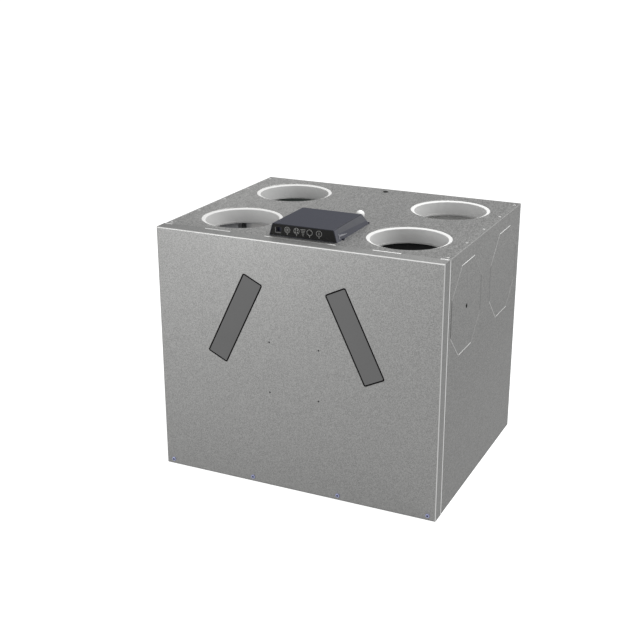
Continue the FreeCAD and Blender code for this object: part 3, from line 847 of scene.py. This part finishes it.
def rollPortRim(row):
    low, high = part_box("right_port_cover_" + row)
    y, z, across = (low[1] + high[1]) / 2, (low[2] + high[2]) / 2, high[2] - low[2]
    outer = across / 2 + (portRim["width"] - portRim["overSeam"]) * mm
    deselect()
    bpy.ops.mesh.primitive_circle_add(
        vertices=8, radius=outer / math.cos(math.pi / 8), fill_type="NGON",
        location=(0, 0, 0), rotation=(0, math.pi / 2, 0))
    rim = startShape(row + "_port_rim")
    bpy.ops.object.mode_set(mode="EDIT")
    bpy.ops.mesh.select_all(action="SELECT")
    bpy.ops.mesh.inset(thickness=portRim["width"] * mm, depth=0)
    bpy.ops.mesh.delete(type="FACE")
    bpy.ops.mesh.select_all(action="SELECT")
    bpy.ops.mesh.extrude_region_move(
        TRANSFORM_OT_translate={"value": (portRim["stand"] * mm, 0, 0)})
    bpy.ops.object.mode_set(mode="OBJECT")
    pickEdges(rim, lambda a, b: min(a.x, b.x) > 0.5 * portRim["stand"] * mm
              and abs(a.yz.length - b.yz.length) < 0.1 * mm)
    bpy.ops.mesh.bevel(offset=portRim["slope"] * mm, segments=1, affect="EDGES")
    bpy.ops.mesh.select_all(action="SELECT")
    bpy.ops.mesh.normals_make_consistent(inside=False)
    bpy.ops.object.mode_set(mode="OBJECT")
    rim.data.transform(Matrix.Rotation(math.pi / 8, 4, "X"))
    rim.data.transform(Matrix.Translation((high[0] - portRim["sink"] * mm, y, z)))
    for face in rim.data.polygons:
        normal = face.normal
        foremost = row == "front" and face.center.y < y and normal.y < -0.3
        if normal.x < 0.9 and abs(normal.z) < 0.1:
            # upright slopes hardly show, except the foremost one, in the hem's shade
            face.material_index = 2 if foremost else 1
        # the lower slopes that look down get the painted highlight
        elif normal.x < 0.9 and normal.z < -0.2 and abs(normal.y) > 0.2 and face.center.z < z:
            face.material_index = 3
    twin = twinOf(rim, mirrorLeft)
    for shape, side in ((rim, "right"), (twin, "left")):
        shape.name = side + "_port_rim_" + row
        finishPiece(shape, "galvanised_sheet", portZinc, sideZinc, portDark, portRimLowerHighlight)


for row in ("front", "back"):
    rollPortRim(row)
print("port rims rolled")


# Studio

studio = {
    "eye": (0.97906, -2.22077, 1.18231),
    "target": (-0.06179, -0.00024, 0.29578),
    "lens": 64.34,                # mm
    "sensor": 36,
    "world": 0.62,
    "floorSize": 30,              # m
    "floorGlow": 1.0,             # what the camera sees
    "floorLight": 0.5,            # what the floor gives the casing
    "lights": {                   # place, target, size and power
        "front": ((-0.9, -1.65, 0.8), (0, -0.26, 0.4), 0.7, 13),
        "overhead": ((0.8, 0.4, 2.2), (0, 0, 0.5), 1.0, 46),
    },
}


def addLight(name, place, target, size, power):
    light = bpy.data.lights.new(name, "AREA")
    light.shape = "DISK"
    light.size = size
    light.energy = power
    lamp = bpy.data.objects.new(name, light)
    lamp.location = place
    lamp.rotation_mode = "QUATERNION"
    lamp.rotation_quaternion = (Vector(target) - Vector(place)).to_track_quat("-Z", "Y")
    bpy.context.scene.collection.objects.link(lamp)


def setStage():
    deselect()
    bpy.ops.mesh.primitive_plane_add(size=studio["floorSize"], location=(0, 0, 0))
    floor = bpy.context.object
    floor.name = "floor"
    material, tree = startMaterial("backlit_white_acrylic")
    rays = addNode(tree, "ShaderNodeLightPath")
    glow = addNode(tree, "ShaderNodeMapRange", {
        "Value": rays.outputs["Is Camera Ray"],
        "To Min": studio["floorLight"], "To Max": studio["floorGlow"]})
    shader = addNode(tree, "ShaderNodeBsdfPrincipled", {
        "Base Color": (0.2, 0.2, 0.2, 1), "Roughness": 0.9, "Specular IOR Level": 0.0,
        "Emission Color": (1, 1, 1, 1), "Emission Strength": glow.outputs[0]})
    endMaterial(tree, shader)
    floor.data.materials.append(material)
    world = bpy.data.worlds.new("studio")
    bpy.context.scene.world = world
    world.use_nodes = True
    background = world.node_tree.nodes["Background"]
    background.inputs["Color"].default_value = (1, 1, 1, 1)
    background.inputs["Strength"].default_value = studio["world"]
    for name, (place, target, size, power) in studio["lights"].items():
        addLight(name, place, target, size, power)
    camera = bpy.data.cameras.new("camera")
    camera.sensor_width = studio["sensor"]
    camera.lens = studio["lens"]
    holder = bpy.data.objects.new("camera", camera)
    holder.location = studio["eye"]
    holder.rotation_mode = "QUATERNION"
    way = Vector(studio["target"]) - Vector(studio["eye"])
    holder.rotation_quaternion = way.to_track_quat("-Z", "Y")
    bpy.context.scene.collection.objects.link(holder)
    bpy.context.scene.camera = holder
    bpy.context.scene.view_settings.view_transform = "Standard"


setStage()
print("stage set")
